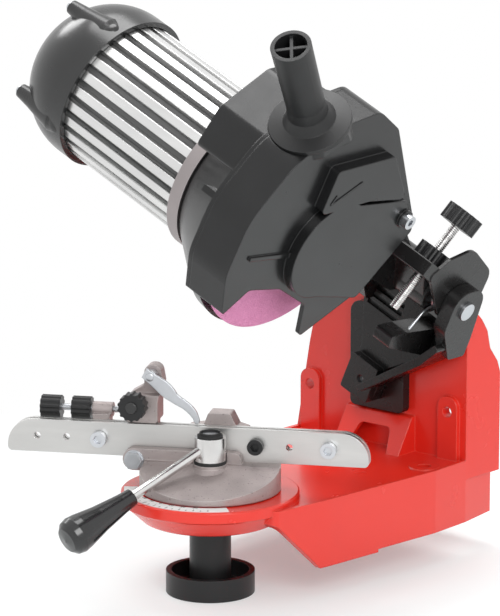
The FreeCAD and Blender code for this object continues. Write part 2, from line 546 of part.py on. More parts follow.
rocker_pin = [(BODY_END - 48, WHEEL_Y, WHEEL_Z + side * 5.4) for side in (-1, 1)]
nodes["switch_rocker"] = tilted(fuse(rocker, rod(1.2, *rocker_pin)))
CELL_R = 11.0
cell_ends = [(BODY_END - 20, WHEEL_Y + side * 20, WHEEL_Z - 18) for side in (-1, 1)]
nodes["capacitor"] = tilted(rod(CELL_R, *cell_ends))
clip = box(BODY_END - 20, BODY_END - 5, WHEEL_Y - 6, WHEEL_Y + 6, WHEEL_Z - 31, WHEEL_Z - 26)
nodes["capacitor_clip"] = tilted(clip.cut(rod(CELL_R + FIT, *cell_ends)))

# stator, rotor, shaft, bearings, flanges and wheel
CORE = BODY - 24
CORE_LEN = 55.0
SHAFT_R = SHAFT_D / 2
ARBOR_R = ARBOR_D / 2
SHOULDER = -WHEEL_T / 2 - 5
core_back = on_axle(CORE - CORE_LEN)
nodes["stator_core"] = tilted(tube(BORE, 23.5, core_back, on_axle(CORE)))
coils = [tube(BORE - 3, 26, on_axle(CORE), on_axle(CORE + 14)),
         tube(BORE - 3, 26, on_axle(CORE - CORE_LEN - 14), core_back)]
nodes["stator_windings"] = tilted(Part.makeCompound(coils))
nodes["rotor_core"] = tilted(tube(23, SHAFT_R, core_back, on_axle(CORE)))
nodes["motor_shaft"] = tilted(fuse(rod(SHAFT_R, on_axle(BODY_END - 12), on_axle(SHOULDER)),
                                   rod(ARBOR_R, on_axle(SHOULDER - 1), on_axle(WHEEL_T / 2 + 14.6))))
nodes["front_bearing"] = tilted(tube(BEARING_R, SHAFT_R + FIT, on_axle(BELL + 0.5), on_axle(BELL + 11.5)))
nodes["rear_bearing"] = tilted(tube(BEARING_R, SHAFT_R + FIT, on_axle(BODY_END - 5), on_axle(BODY_END + 6)))
inner_flange = fuse(tube(12, SHAFT_R, on_axle(-16), on_axle(SHOULDER)),
                    tube(25, ARBOR_R, on_axle(SHOULDER), on_axle(-WHEEL_T / 2)),
                    tube(WHEEL_BORE / 2 - FIT, ARBOR_R, on_axle(-WHEEL_T / 2), on_axle(WHEEL_T / 2 - 0.4)))
nodes["inner_flange"] = tilted(inner_flange)
nodes["outer_flange"] = tilted(tube(25, ARBOR_R, on_axle(WHEEL_T / 2), on_axle(WHEEL_T / 2 + 4)))
nut = hexagon(19, 8, on_axle(WHEEL_T / 2 + 4), (1, 0, 0))
nodes["arbor_nut"] = tilted(nut.cut(rod(ARBOR_R, on_axle(0), on_axle(30))))
wheel = lathe([(WHEEL_BORE / 2, -WHEEL_T / 2), (WHEEL_R - 1.5, -WHEEL_T / 2), (WHEEL_R, -1), (WHEEL_R, 1),
               (WHEEL_R - 1.5, WHEEL_T / 2), (WHEEL_BORE / 2, WHEEL_T / 2)], on_axle(0), (1, 0, 0))
nodes["grinding_wheel"] = tilted(wheel)

# vise: turning drum with a sloped front, bar for the front rail, backing for the rear rail
DRUM_R = NOSE_R - 11.6
RAIL_LOW = 15.6
RAIL_TOP = RAIL_LOW + RAIL_H
RAIL_MID = RAIL_LOW + RAIL_H / 2
BAR_FRONT = 3.5
BAR_BACK = 10.0
FRONT = BAR_BACK + 0.6
REAR = FRONT + RAIL_T + CHAIN_GAP
BACKING = REAR + RAIL_T + 0.1
BAR_BOLT_X = -49.0
POST_FOOT = RAIL_LOW + 1
drum = lathe([(0, RUN), (DRUM_R - 0.6, RUN), (DRUM_R, RUN + 0.6), (DRUM_R, RAIL_LOW), (0, RAIL_LOW)],
             (0, 0, 0), (0, 0, 1))
drum = drum.cut(slab_x([(2, RAIL_LOW, 6), (-DRUM_R - 6, 2.6, 0), (-DRUM_R - 6, 34, 0), (2, 34, 0)],
                       -90, 90))
collar = lathe([(0, 8), (17, 8), (12, RAIL_LOW - 2.5), (10.5, RAIL_LOW - 1), (10.5, POST_FOOT),
                (0, POST_FOOT)], (0, 0, 0), (0, 0, 1))
bar = slab_y([(BAR_BOLT_X - 7.5, RAIL_LOW - 7, 7), (19, RAIL_LOW - 7, 5), (19, RAIL_LOW + 7, 5),
              (BAR_BOLT_X - 7.5, RAIL_LOW + 7, 7)], BAR_FRONT, BAR_BACK)
rear_block = box(-22, 22, BAR_FRONT, 34, 7.6, RAIL_LOW)
backing = slab_y([(-20, RAIL_LOW - 7, 0), (20, RAIL_LOW - 7, 0), (20, RAIL_TOP - 3, 3),
                  (13, RAIL_TOP - 1, 0), (9, RAIL_TOP + 7, 1.5), (-5, RAIL_TOP + 7, 1.5),
                  (-8, RAIL_TOP - 1, 0), (-20, RAIL_TOP - 3, 3)], BACKING, BACKING + 13.3)
spot_face = rod(7, (BAR_BOLT_X, -DRUM_R, RAIL_LOW), (BAR_BOLT_X, BAR_FRONT, RAIL_LOW))
casting = fuse(drum.cut(spot_face), collar, bar, rear_block, backing)
casting = casting.cut(rod(10.4, (0, 0, POST_FOOT), (0, 0, 44)))
casting = casting.cut(rod(BOLT_R + FIT, (0, 0, -9), (0, 0, POST_FOOT)))
casting = casting.cut(rod(3 + FIT, (BAR_BOLT_X, 0, RAIL_LOW), (BAR_BOLT_X, 12, RAIL_LOW)))
nodes["vise_casting"] = swivelled(casting)

# rails with their holes and through bolts
RAIL_BOLTS = (-73, 27, 73)
BOLT_HOLE_R = 3 + FIT


def rail(front):
    plate = slab_y([(-RAIL_LEFT, RAIL_LOW, 3), (RAIL_RIGHT, RAIL_LOW, 3),
                    (RAIL_RIGHT, RAIL_TOP, RAIL_H - 4),
                    (-RAIL_LEFT, RAIL_TOP, RAIL_H - 4)], front, front + RAIL_T)
    for x in RAIL_BOLTS:
        plate = plate.cut(rod(BOLT_HOLE_R, (x, front - 1, RAIL_MID), (x, front + 9, RAIL_MID)))
    for x in (-113, -94, 48):
        plate = plate.cut(rod(2.2, (x, front - 1, RAIL_MID), (x, front + 9, RAIL_MID)))
    return plate


def rail_bolt(x):
    head = FRONT - 4.5
    shank = rod(3, (x, FRONT - 0.5, RAIL_MID), (x, REAR + RAIL_T + 4, RAIL_MID))
    cap_head = rod(5, (x, head, RAIL_MID), (x, FRONT - 0.5, RAIL_MID))
    bolt = fuse(shank, cap_head, hexagon(10, 4, (x, REAR + RAIL_T, RAIL_MID), (0, 1, 0)))
    return bolt.cut(hexagon(5, 3, (x, head, RAIL_MID), (0, 1, 0)))


nodes["front_rail"] = swivelled(rail(FRONT))
nodes["rear_rail"] = swivelled(rail(REAR))
nodes["rail_bolts"] = swivelled(Part.makeCompound([rail_bolt(x) for x in RAIL_BOLTS]))
washer = rod(6.25, (BAR_BOLT_X, BAR_FRONT - 1.5, RAIL_LOW), (BAR_BOLT_X, BAR_FRONT, RAIL_LOW))
bar_bolt = fuse(rod(3, (BAR_BOLT_X, BAR_FRONT, RAIL_LOW), (BAR_BOLT_X, BAR_BACK, RAIL_LOW)), washer,
                hexagon(10, 4, (BAR_BOLT_X, BAR_FRONT - 1.5, RAIL_LOW), (0, -1, 0)))
nodes["bar_bolt"] = swivelled(bar_bolt)

# clamp post, hub with its rings, lever; the lever clears the nose
HUB_LOW = POST_FOOT + 2
HUB_TOP = HUB_LOW + 15
POST_R = 6.0
LEVER_UP = HUB_LOW + 10
LEVER_R = LEVER_D / 2
nodes["swivel_stud"] = swivelled(rod(BOLT_R, (0, 0, -12 - NOSE_TOP), (0, 0, POST_FOOT - 0.2)))
nodes["hub_seal_low"] = swivelled(tube(10, POST_R + FIT, (0, 0, POST_FOOT), (0, 0, HUB_LOW)))
nodes["clamp_post"] = swivelled(rod(POST_R, (0, 0, POST_FOOT), (0, 0, HUB_TOP + 1.5)))
droop = math.atan((LEVER_UP - LEVER_OVER_NOSE) / NOSE_R)
aim = math.radians(227.5)
lever_dir = V(math.cos(aim) * math.cos(droop), math.sin(aim) * math.cos(droop), -math.sin(droop))


def on_lever(s):
    return tuple(V(0, 0, LEVER_UP) + lever_dir * s)


hub = tube(9.75, POST_R + FIT, (0, 0, HUB_LOW), (0, 0, HUB_TOP))
nodes["clamp_hub"] = swivelled(hub.cut(rod(LEVER_R + FIT, on_lever(7.5), on_lever(30))))
nodes["hub_seal_top"] = swivelled(fuse(tube(6.6, POST_R + FIT, (0, 0, HUB_TOP), (0, 0, HUB_TOP + 3)),
                                       tube(8, POST_R + FIT, (0, 0, HUB_TOP), (0, 0, HUB_TOP + 1.2))))
GRIP = 64.0
nodes["lever_rod"] = swivelled(rod(LEVER_R, on_lever(8.3), on_lever(GRIP + 26)))
nodes["lever_grip"] = swivelled(lathe([(LEVER_R + FIT, GRIP), (5.5, GRIP), (6.2, GRIP + 8),
                                       (8.6, GRIP + 26), (11.4, GRIP + 40), (12, GRIP + 45),
                                       (11, GRIP + 49), (8, GRIP + 52), (0, GRIP + 53), (0, GRIP + 26),
                                       (LEVER_R + FIT, GRIP + 26)], (0, 0, LEVER_UP), tuple(lever_dir)))
sleeve = lathe([(BOLT_R + FIT, -16), (13, -16), (13, NOSE_LOW - RUN), (BOLT_R + FIT, NOSE_LOW - RUN)],
               (0, VISE_Y, 0), (0, 0, 1))
cup = lathe([(BOLT_R + FIT, -19.2), (27.8, -19.2), (27.8, -5.3), (24.3, -5.3), (24.3, -15.7),
             (BOLT_R + FIT, -15.7)],
            (0, VISE_Y, 0), (0, 0, 1))
nodes["swivel_lock_knob"] = fuse(sleeve, cup)

# chain stop behind the rear rail: bracket, screw and knobs, carrier, pawl
STOP_Y = REAR + RAIL_T + 6.4
STOP_Z = RAIL_TOP + 5
STOP_R = STOP_SCREW_D / 2
PAWL_X = -41.0
PAWL_Z = RAIL_TOP + 29.7
PAWL_PIN_R = 2.5
CLAMP_X = -50.6
CLAMP_Z = RAIL_TOP + 12


def on_stop(x):
    return (x, STOP_Y, STOP_Z)


stop_foot = fuse(box(-79, -68, REAR + RAIL_T, STOP_Y + 2, RAIL_TOP - 7, RAIL_TOP + 3),
                 rod(4.5, on_stop(-80), on_stop(-67)))
stop_foot = stop_foot.cut(rod(STOP_R + FIT, on_stop(-90), on_stop(-60)))
stop_foot = stop_foot.cut(hexagon(10.4, 5, (RAIL_BOLTS[0], REAR + RAIL_T, RAIL_MID), (0, 1, 0)))
nodes["stop_bracket"] = swivelled(stop_foot)
nodes["stop_screw"] = swivelled(rod(STOP_R, on_stop(-113), on_stop(-49)))
nodes["stop_screw_knob"] = swivelled(knob(7.4, 12.8, on_stop(-113), (1, 0, 0), 12, STOP_R))
nodes["stop_lock_knob"] = swivelled(knob(7.4, 12, on_stop(-93), (1, 0, 0), 12, STOP_R + FIT))
carrier = slab_y([(-56, RAIL_TOP + RUN, 2), (-36, RAIL_TOP + RUN, 2), (-36, RAIL_TOP + 13, 2),
                  (-34, RAIL_TOP + 25, 3),
                  (-36, RAIL_TOP + 36, 5), (-46, RAIL_TOP + 36, 5), (-46, RAIL_TOP + 23, 3),
                  (-56, RAIL_TOP + 17, 4)],
                 STOP_Y - 13, STOP_Y + 5)
carrier = carrier.cut(box(-60, -30, STOP_Y - 15, STOP_Y - 5, RAIL_TOP + 18, RAIL_TOP + 42))
carrier = fuse(carrier, box(-54, -38, STOP_Y - 4.5, STOP_Y + 5, RAIL_LOW + 4, RAIL_TOP + 1))
carrier = carrier.cut(rod(STOP_R + FIT, on_stop(-60), on_stop(-45)))
carrier = carrier.cut(rod(PAWL_PIN_R + FIT, (PAWL_X, 10, PAWL_Z), (PAWL_X, 40, PAWL_Z)))
carrier = carrier.cut(rod(PAWL_PIN_R + FIT, (CLAMP_X, 5, CLAMP_Z), (CLAMP_X, STOP_Y - 2, CLAMP_Z)))
nodes["stop_carrier"] = swivelled(carrier)
clamp_front = STOP_Y - 22.3
clamp_knob = fuse(knob(9, 9, (CLAMP_X, clamp_front, CLAMP_Z), (0, 1, 0), 14, 0),
                  rod(PAWL_PIN_R, (CLAMP_X, clamp_front + 9, CLAMP_Z), (CLAMP_X, STOP_Y - 5, CLAMP_Z)))
nodes["stop_clamp_knob"] = swivelled(clamp_knob)
pawl = slab_y([(-46, RAIL_TOP + 25.5, 4), (-40, RAIL_TOP + 34.5, 4), (-30, RAIL_TOP + 27, 10),
               (-18, RAIL_TOP + 13, 8),
               (-10, RAIL_TOP + 2.5, 1), (-13, RAIL_TOP + 0.9, 1), (-26, RAIL_TOP + 12, 10),
               (-36, RAIL_TOP + 22, 8)],
              STOP_Y - 11.8, STOP_Y - 9.6)
pawl = fuse(pawl, rod(4.6, (PAWL_X, STOP_Y - 11.8, PAWL_Z), (PAWL_X, STOP_Y - 5.5, PAWL_Z)))
nodes["stop_pawl"] = swivelled(pawl.cut(rod(PAWL_PIN_R + FIT, (PAWL_X, 0, PAWL_Z), (PAWL_X, 40, PAWL_Z))))
pin_front = STOP_Y - 17.3
pawl_pin = fuse(rod(PAWL_PIN_R, (PAWL_X, pin_front, PAWL_Z), (PAWL_X, STOP_Y + 6, PAWL_Z)),
                knob(7, 5, (PAWL_X, pin_front, PAWL_Z), (0, 1, 0), 10, 0))
nodes["pawl_pin"] = swivelled(pawl_pin)

for name, shape in nodes.items():
    shape.exportStep("parts/" + name + ".step")
    print(name, "solids", len(shape.Solids), "valid", shape.isValid(), "volume", round(shape.Volume))
print("nodes", len(nodes))
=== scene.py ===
import bpy
import bmesh
import json
import math
from mathutils import Matrix, Vector


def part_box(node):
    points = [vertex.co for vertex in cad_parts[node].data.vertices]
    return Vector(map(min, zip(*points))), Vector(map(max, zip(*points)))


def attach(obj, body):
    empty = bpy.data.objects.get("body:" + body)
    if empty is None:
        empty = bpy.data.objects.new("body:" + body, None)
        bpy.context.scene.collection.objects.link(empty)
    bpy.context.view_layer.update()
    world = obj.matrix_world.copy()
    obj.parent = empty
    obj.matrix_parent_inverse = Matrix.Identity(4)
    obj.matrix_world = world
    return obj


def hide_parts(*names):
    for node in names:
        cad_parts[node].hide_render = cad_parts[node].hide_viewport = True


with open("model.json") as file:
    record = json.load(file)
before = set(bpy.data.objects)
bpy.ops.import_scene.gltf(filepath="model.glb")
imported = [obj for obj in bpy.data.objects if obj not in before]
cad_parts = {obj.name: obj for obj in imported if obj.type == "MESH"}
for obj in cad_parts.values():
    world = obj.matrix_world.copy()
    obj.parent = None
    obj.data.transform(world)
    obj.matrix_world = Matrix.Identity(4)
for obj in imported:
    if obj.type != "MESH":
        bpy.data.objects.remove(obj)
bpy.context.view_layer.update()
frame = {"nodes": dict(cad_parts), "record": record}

nodes = frame["nodes"]
joints = {j["name"]: j for j in frame["record"]["behaviour"]["joints"]}
print("frame loaded,", len(nodes), "CAD nodes")


class Wire:  # one shader socket; operators add Math nodes
    def __init__(self, shade, socket):
        self.shade = shade
        self.socket = socket

    def math(self, operation, other, flip=False):
        first, second = (other, self) if flip else (self, other)
        return self.shade.add("ShaderNodeMath", {0: first, 1: second}, operation=operation)

    def __add__(self, other):
        return self.math("ADD", other)

    def __radd__(self, other):
        return self.math("ADD", other, True)

    def __rsub__(self, other):
        return self.math("SUBTRACT", other, True)

    def __mul__(self, other):
        return self.math("MULTIPLY", other)

    def __gt__(self, other):
        return self.math("GREATER_THAN", other)


wearSet = dict(flat=0.98, corner=0.8, samples=4)


class Shade:  # one material or world under construction
    def __init__(self, name, owner=None):
        self.material = owner or bpy.data.materials.new(name)
        self.material.use_nodes = True
        self.tree = self.material.node_tree
        self.bsdf = self.tree.nodes.get("Principled BSDF")

    def add(self, kind, inputs=None, output=0, **settings):
        node = self.tree.nodes.new(kind)
        for key, value in settings.items():
            setattr(node, key, value)
        for key, value in (inputs or {}).items():
            self.feed(node.inputs[key], value)
        return Wire(self, node.outputs[output])

    def feed(self, socket, value):
        value = value.socket if isinstance(value, Wire) else value
        if isinstance(value, bpy.types.NodeSocket):
            self.tree.links.new(value, socket)
        else:
            socket.default_value = tuple(value) if isinstance(value, Vector) else value

    def put(self, **sockets):
        for name, value in sockets.items():
            self.feed(self.bsdf.inputs[name.replace("_", " ")], value)

    def vector(self, operation, *values, output="Value"):
        return self.add("ShaderNodeVectorMath", dict(enumerate(values)), output, operation=operation)

    def coords(self):
        return self.add("ShaderNodeTexCoord", output="Object")

    def place(self, scale=(1, 1, 1)):
        return self.add("ShaderNodeMapping", {"Vector": self.coords(), "Scale": scale})

    def noise(self, size, detail=3.0, scale=(1, 1, 1)):
        return self.add("ShaderNodeTexNoise",
                        {"Vector": self.place(scale), "Scale": 1 / size, "Detail": detail})

    def span(self, value, low, high, start=0.0, end=1.0):  # start at low, end at high
        return self.add("ShaderNodeMapRange", {0: value, 1: low, 2: high, 3: start, 4: end})

    def offLine(self, point, way):  # distance from an axis
        arm = self.vector("SUBTRACT", self.coords(), point, output="Vector")
        return self.vector("LENGTH", self.vector("CROSS_PRODUCT", arm, way, output="Vector"))

    def around(self, point):  # distance from a point
        return self.vector("DISTANCE", self.coords(), point)

    def blend(self, mask, dark, light):
        return self.add("ShaderNodeMix", {0: mask, 6: dark, 7: light}, 2, data_type="RGBA")

    def rounded(self, radius):
        return self.add("ShaderNodeBevel", {"Radius": radius}, samples=wearSet["samples"])

    def edge(self, radius):  # 0 on flat faces, rising to 1 on worn corners
        true = self.add("ShaderNodeNewGeometry", output="Normal")
        dot = self.vector("DOT_PRODUCT", self.rounded(radius), true)
        return self.span(dot, wearSet["flat"], wearSet["corner"])

    def worn(self, look, body):  # body colour, brighter on its corners
        return self.blend(self.edge(look["wear"]) * look["wearShare"], body, look["worn"])

    def gloss(self, look, stretch=(1, 1, 1)):
        return look["gloss"] + self.noise(look["smear"], 3.0, stretch) * look["spread"]

    def relief(self, look, height):  # fine bumps, over rounded corners where the look has them
        inputs = {"Height": height, "Strength": look["relief"], "Distance": look["depth"]}
        if "corner" in look:
            inputs["Normal"] = self.rounded(look["corner"])
        return self.add("ShaderNodeBump", inputs)

    def seen(self):  # 1 for what the camera sees straight, mirrored or through glass
        rays = self.tree.nodes.new("ShaderNodeLightPath").outputs
        straight = Wire(self, rays["Is Camera Ray"]).math("MAXIMUM", rays["Is Glossy Ray"])
        return straight.math("MAXIMUM", rays["Is Transmission Ray"])


def rgb(r, g, b):
    return (r, g, b, 1.0)


def shifted(tint, factor, lift=0.0):
    return rgb(*(c * factor + lift for c in tint[:3]))


axleAt = Vector(joints["wheel_spin"]["pos_m"])
axleWay = Vector(joints["wheel_spin"]["axis"]).normalized()

redLook = dict(deep=rgb(0.70, 0.022, 0.012), fresh=rgb(0.77, 0.030, 0.016), worn=rgb(0.82, 0.11, 0.07),
               mottle=0.05, wear=0.0012, wearShare=0.5, coat=0.12, coatGloss=0.08, gloss=0.22, smear=0.02,
               spread=0.08, peel=0.0035, relief=0.025, depth=0.0003, corner=0.0011)


def redPaint(name):
    look = redLook
    s = Shade(name)
    s.put(Base_Color=s.worn(look, s.blend(s.noise(look["mottle"]), look["deep"], look["fresh"])))
    s.put(Coat_Weight=look["coat"], Coat_Roughness=look["coatGloss"], Roughness=s.gloss(look))
    s.put(Normal=s.relief(look, s.noise(look["peel"], 2.0)))
    return s.material


# the lighter corner colour of the black parts is partly scuffing and partly a painted highlight
mouldLook = dict(pale=(1.7, 0.003), scuffAndHighlight=(3.0, 0.02), mottle=0.03, wear=0.0009, wearShare=0.5, coat=0.0,
                 smear=0.012, spread=0.14, depth=0.0003, corner=0.0007, sheen=0.5)


def mouldedBlack(name, **own):
    look = {**mouldLook, **own}
    # lighter corners: partly scuffing, partly a painted highlight along the edges
    look["worn"] = shifted(look["tint"], *look["scuffAndHighlight"])
    s = Shade(name)
    body = s.blend(s.noise(look["mottle"]), look["tint"], shifted(look["tint"], *look["pale"]))
    s.put(Base_Color=s.worn(look, body), Coat_Weight=look["coat"], Specular_IOR_Level=look["sheen"])
    s.put(Roughness=s.gloss(look), Normal=s.relief(look, s.noise(look["grain"], 2.0)))
    return s.material


metalLook = dict(dull=0.7, worn=rgb(0.90, 0.90, 0.90), wear=0.0006, wearShare=0.4, smearShare=0.5,
                 spread=0.18, depth=0.0003, corner=0.0004, stretch=(1, 1, 1))


def bareMetal(name, **own):
    look = {**metalLook, **own}
    look["smear"] = look["streak"] * look["smearShare"]
    s = Shade(name)
    streaks = s.noise(look["streak"], 4.0, look["stretch"])
    s.put(Base_Color=s.worn(look, s.blend(streaks, shifted(look["tint"], look["dull"]), look["tint"])))
    s.put(Metallic=1.0, Roughness=s.gloss(look, look["stretch"]))
    s.put(Normal=s.relief(look, s.noise(look["grain"], 3.0, look["stretch"])))
    return s.material


# the groove colour is painted shade in the recesses between the ribs
ribLook = dict(bright=rgb(0.86, 0.86, 0.85), dull=rgb(0.60, 0.60, 0.60), grooveShade=rgb(0.17, 0.17, 0.17),
               floorAt=0.0440, tipAt=0.0466, streak=0.02, drawn=(0.25, 1, 1), brushed=(0.2, 1, 1),
               grooveMetal=0.35, grooveGloss=0.55, tipGloss=0.22, smear=0.008, spread=0.12, grain=0.0012,
               relief=0.06, depth=0.0003, corner=0.0012)


def ribbedMotor(name):  # bright rib tips over grooves painted darker as shade
    look = ribLook
    s = Shade(name)
    tip = s.span(s.offLine(axleAt, axleWay), look["floorAt"], look["tipAt"])
    face = s.blend(s.noise(look["streak"], 4.0, look["drawn"]), look["dull"], look["bright"])
    metal, gloss = look["grooveMetal"], look["grooveGloss"]
    # painted shade: the grooves get a darker base colour than the rib tips
    s.put(Base_Color=s.blend(tip, look["grooveShade"], face), Metallic=metal + tip * (1 - metal))
    smear = s.noise(look["smear"], 3.0, look["brushed"]) * look["spread"]
    s.put(Roughness=gloss - tip * (gloss - look["tipGloss"]) + smear)
    s.put(Normal=s.relief(look, s.noise(look["grain"], 3.0, look["brushed"])))
    return s.material


# the dark colour at the middle bolt is painted shade, standing for a dark hole
boltLook = dict(zinc=rgb(0.66, 0.68, 0.71), holeShade=rgb(0.012, 0.012, 0.013), reach=0.014,
                holeShadeAt=Vector((0.0158, -0.1144, 0.0725)), holeShadeMetal=0.2, gloss=0.26, smear=0.006,
                spread=0.16, grain=0.0007, relief=0.1, depth=0.0003, corner=0.0004)


def railBoltSteel(name):  # zinc plated, with one bolt painted dark as the shade of a hole
    look = boltLook
    s = Shade(name)
    # painted shade: near the middle bolt the colour turns dark, as the shade inside a hole
    outsideHoleShade = s.around(look["holeShadeAt"]) > look["reach"]
    s.put(Base_Color=s.blend(outsideHoleShade, look["holeShade"], look["zinc"]))
    s.put(Metallic=look["holeShadeMetal"] + outsideHoleShade * (1 - look["holeShadeMetal"]), Roughness=s.gloss(look))
    s.put(Normal=s.relief(look, s.noise(look["grain"])))
    return s.material


castLook = dict(dull=rgb(0.33, 0.287, 0.28), fresh=rgb(0.52, 0.46, 0.45), pit=rgb(0.20, 0.18, 0.175),
                worn=rgb(0.8, 0.78, 0.77), mottle=0.012, pitSize=0.0016, pitFrom=0.36, pitTo=0.28,
                wear=0.0008, wearShare=0.45, metal=0.85, gloss=0.46, smear=0.006, spread=0.2, grain=0.0009,
                relief=0.5, depth=0.0004, corner=0.0009)


def sandCast(name):
    look = castLook
    s = Shade(name)
    body = s.blend(s.noise(look["mottle"], 4.0), look["dull"], look["fresh"])
    pits = s.span(s.noise(look["pitSize"], 4.0), look["pitFrom"], look["pitTo"])
    s.put(Base_Color=s.worn(look, s.blend(pits, body, look["pit"])), Metallic=look["metal"])
    s.put(Roughness=s.gloss(look), Normal=s.relief(look, s.noise(look["grain"])))
    return s.material


wheelLook = dict(rose=rgb(0.53, 0.160, 0.32), pale=rgb(0.76, 0.310, 0.51), grit=0.0011, gritShare=0.4,
                 mottle=0.004, gloss=0.82, smear=0.003, spread=0.12, relief=0.5, depth=0.0005, corner=0.0006)


def pinkStone(name):
    look = wheelLook
    s = Shade(name)
    grit = s.add("ShaderNodeTexVoronoi", {"Vector": s.place(), "Scale": 1 / look["grit"]})
    mask = s.noise(look["mottle"]) * (1 - look["gritShare"]) + grit * look["gritShare"]
    s.put(Base_Color=s.blend(mask, look["rose"], look["pale"]))
    s.put(Roughness=s.gloss(look), Normal=s.relief(look, grit))
    return s.material


stripLook = dict(dark=rgb(0.72, 0.71, 0.70), light=rgb(0.84, 0.83, 0.82), mottle=0.01, gloss=0.35,
                 smear=0.004, spread=0.1, grain=0.002, relief=0.05, depth=0.0002)
inkLook = dict(dark=rgb(0.012, 0.012, 0.013), light=rgb(0.04, 0.04, 0.042), mottle=0.003, gloss=0.5,
               smear=0.002, spread=0.15, grain=0.0008, relief=0.05, depth=0.0001)


def printed(name, look):
    s = Shade(name)
    s.put(Base_Color=s.blend(s.noise(look["mottle"]), look["dark"], look["light"]))
    s.put(Roughness=s.gloss(look), Normal=s.relief(look, s.noise(look["grain"])))
    return s.material


copperLook = dict(dark=rgb(0.30, 0.10, 0.03), light=rgb(0.75, 0.36, 0.16), wires=300.0, unrest=2.0,
                  metal=0.8, gloss=0.35, smear=0.01, spread=0.2, relief=0.6, depth=0.0006)


def copperWinding(name):
    look = copperLook
    s = Shade(name)
    wires = s.add("ShaderNodeTexWave", {"Vector": s.place(), "Scale": look["wires"],
                                        "Distortion": look["unrest"]}, bands_direction="DIAGONAL")
    s.put(Base_Color=s.blend(wires, look["dark"], look["light"]), Metallic=look["metal"])
    s.put(Roughness=s.gloss(look), Normal=s.relief(look, wires))
    return s.material


blacks = {
    "guardBlack": dict(tint=rgb(0.006, 0.006, 0.0063), gloss=0.17, grain=0.0011, relief=0.10, corner=0.0011,
                       sheen=0.42),
    "capBlack": dict(tint=rgb(0.009, 0.009, 0.0092), gloss=0.18, grain=0.0016, relief=0.05, sheen=0.66),
    "gripBlack": dict(tint=rgb(0.008, 0.008, 0.0083), gloss=0.34, grain=0.0008, relief=0.16, sheen=0.42),
    "leverBlack": dict(tint=rgb(0.009, 0.009, 0.0095), gloss=0.16, grain=0.0012, relief=0.05, coat=0.3),
    "knobBlack": dict(tint=rgb(0.007, 0.007, 0.0075), gloss=0.30, grain=0.0009, relief=0.12, sheen=0.42),
    "bracketBlack": dict(tint=rgb(0.008, 0.0075, 0.0075), gloss=0.20, grain=0.0018, relief=0.22, sheen=0.36),
    "sealRubber": dict(tint=rgb(0.010, 0.010, 0.010), gloss=0.65, grain=0.0006, relief=0.2),
}
metals = {
    "ringAlu": dict(tint=rgb(0.44, 0.40, 0.40), gloss=0.40, streak=0.02, grain=0.0012, relief=0.12),
    "zincSteel": dict(tint=rgb(0.66, 0.68, 0.71), gloss=0.24, streak=0.015, grain=0.0007, relief=0.10),
    "chromeSteel": dict(tint=rgb(0.86, 0.85, 0.84), gloss=0.12, streak=0.02, grain=0.0010, relief=0.04),
    "railSteel": dict(tint=rgb(0.74, 0.735, 0.72), gloss=0.30, streak=0.01, grain=0.0006, relief=0.10,
                      stretch=(0.15, 0.15, 1)),
}
looks = {make.__name__: make(make.__name__)
         for make in (redPaint, ribbedMotor, railBoltSteel, sandCast, pinkStone, copperWinding)}
looks.update({name: mouldedBlack(name, **own) for name, own in blacks.items()})
looks.update({name: bareMetal(name, **own) for name, own in metals.items()})
looks.update(printedStrip=printed("printedStrip", stripLook), scaleInk=printed("scaleInk", inkLook))
wears = {
    "redPaint": "base_casting",
    "guardBlack": "wheel_guard rear_guard",
    "capBlack": "motor_cap",
    "gripBlack": "handle",
    "leverBlack": "lever_grip",
    "knobBlack": "swivel_lock_knob tilt_lock_knob depth_knob depth_lock_knob stop_screw_knob stop_lock_knob "
                 "stop_clamp_knob pawl_pin switch_case switch_rocker cable_gland capacitor capacitor_clip",
    "bracketBlack": "pivot_pad tilt_bracket head_arm",
    "sealRubber": "hub_seal_low hub_seal_top",
    "ribbedMotor": "motor_body",
    "ringAlu": "motor_end_bell motor_rear_plate",
    "sandCast": "vise_casting stop_bracket stop_carrier",
    "zincSteel": "tilt_bolt hinge_pin return_spring guard_screw handle_stud cap_screws bar_bolt "
                 "swivel_stud clamp_post stop_screw stop_pawl motor_shaft front_bearing "
                 "rear_bearing stator_core rotor_core inner_flange outer_flange arbor_nut",
    "railBoltSteel": "rail_bolts",
    "chromeSteel": "lever_rod clamp_hub depth_screw",
    "railSteel": "front_rail rear_rail",
    "pinkStone": "grinding_wheel",
    "printedStrip": "swivel_scale",
    "copperWinding": "stator_windings",
}
for finishName, members in wears.items():
    for member in members.split():
        nodes[member].data.materials.clear()
        nodes[member].data.materials.append(looks[finishName])
print("finishes on", sum(len(m.split()) for m in wears.values()), "nodes")


def plainMesh(holder):  # what an object evaluates to; the object itself goes
    bpy.context.scene.collection.objects.link(holder)
    graph = bpy.context.evaluated_depsgraph_get()
    mesh = bpy.data.meshes.new_from_object(holder.evaluated_get(graph))
    bpy.data.objects.remove(holder)
    return mesh


def keep(name, mesh, body):
    mesh.name = name
    piece = bpy.data.objects.new(name, mesh)
    bpy.context.scene.collection.objects.link(piece)
    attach(piece, body)
    print(name, len(mesh.polygons), "faces on", body)
    return piece


def keepBuilt(name, bm, place, look, body, sharp=None):  # smooth up to a sharp angle, if given
    mesh = bpy.data.meshes.new(name)
    bm.to_mesh(mesh)
    bm.free()
    if sharp is not None:
        mesh.shade_smooth()
        mesh.set_sharp_from_angle(angle=math.radians(sharp))
    mesh.transform(place)
    mesh.materials.append(looks[look])
    return keep(name, mesh, body)


